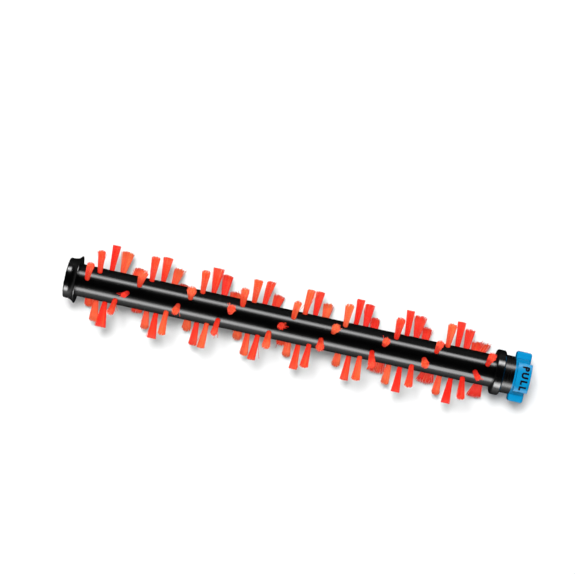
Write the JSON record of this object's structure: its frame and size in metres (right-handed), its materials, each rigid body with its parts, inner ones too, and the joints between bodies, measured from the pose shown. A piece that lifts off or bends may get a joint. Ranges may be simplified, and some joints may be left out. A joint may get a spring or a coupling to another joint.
{
  "type": "carpet cleaner brush roll",
  "caption": "Rotating brush roll for a carpet cleaner: a tube with two spiral rows of nylon tufts, a drive plug at one end and a bearing block with a pull cap at the other.",
  "frame": {"origin": "centre of the mouth of the drive socket, on the spin axis", "axes": "+X along the spin axis from the drive plug toward the pull cap; +Z the side that the cap's tab stands on; +Y completes the frame"},
  "size_m": [0.2825, 0.05, 0.05],
  "materials": {
    "black_tube": "black extruded plastic, satin gloss",
    "black_moulding": "black moulded plastic with fine turning lines, satin gloss",
    "blue_moulding": "bright blue moulded plastic, fine matt texture",
    "bristle_nylon": "orange-red nylon filaments",
    "anchor_wire": "drawn steel",
    "bearing_steel": "ground and polished steel",
    "axle_steel": "turned stainless steel",
    "spring_steel": "phosphated spring steel",
    "screw_steel": "zinc-plated steel",
    "seal_rubber": "matt nitrile rubber",
    "felt": "pressed grey wool felt",
    "cage_nylon": "natural nylon"
  },
  "bodies": {
    "end_cap": {"bearing_block": "black_moulding", "bearing_outer_ring": "bearing_steel", "bearing_shields": "bearing_steel", "felt_seal": "felt", "pull_cap": "blue_moulding", "cap_screws": "screw_steel"},
    "roller": {"core_tube": "black_tube", "drive_plug": "black_moulding", "drive_plug_o_ring": "seal_rubber", "axle_plug": "black_moulding", "axle_plug_o_ring": "seal_rubber", "stub_axle": "axle_steel", "axle_washer": "axle_steel", "axle_clip": "spring_steel", "bearing_inner_ring": "bearing_steel", "tuft_anchors_a": "anchor_wire", "tuft_anchors_b": "anchor_wire", "bristles_a_1": "bristle_nylon", "bristles_a_2": "bristle_nylon", "bristles_a_3": "bristle_nylon", "bristles_a_4": "bristle_nylon", "bristles_b_1": "bristle_nylon", "bristles_b_2": "bristle_nylon", "bristles_b_3": "bristle_nylon", "bristles_b_4": "bristle_nylon"},
    "ball_train": {"bearing_balls": "bearing_steel", "ball_cage": "cage_nylon"}
  },
  "joints": [
    {"name": "roller_spin", "type": "hinge", "parent": "end_cap", "child": "roller", "pos_m": [0.2704, 0, 0], "axis": [1, 0, 0], "continuous": true},
    {"name": "ball_train_orbit", "type": "hinge", "parent": "end_cap", "child": "ball_train", "pos_m": [0.2704, 0, 0], "axis": [1, 0, 0], "continuous": true}
  ],
  "couplings": [
    {"joint": "ball_train_orbit", "follows": "roller_spin", "ratio": 0.3947}
  ]
}
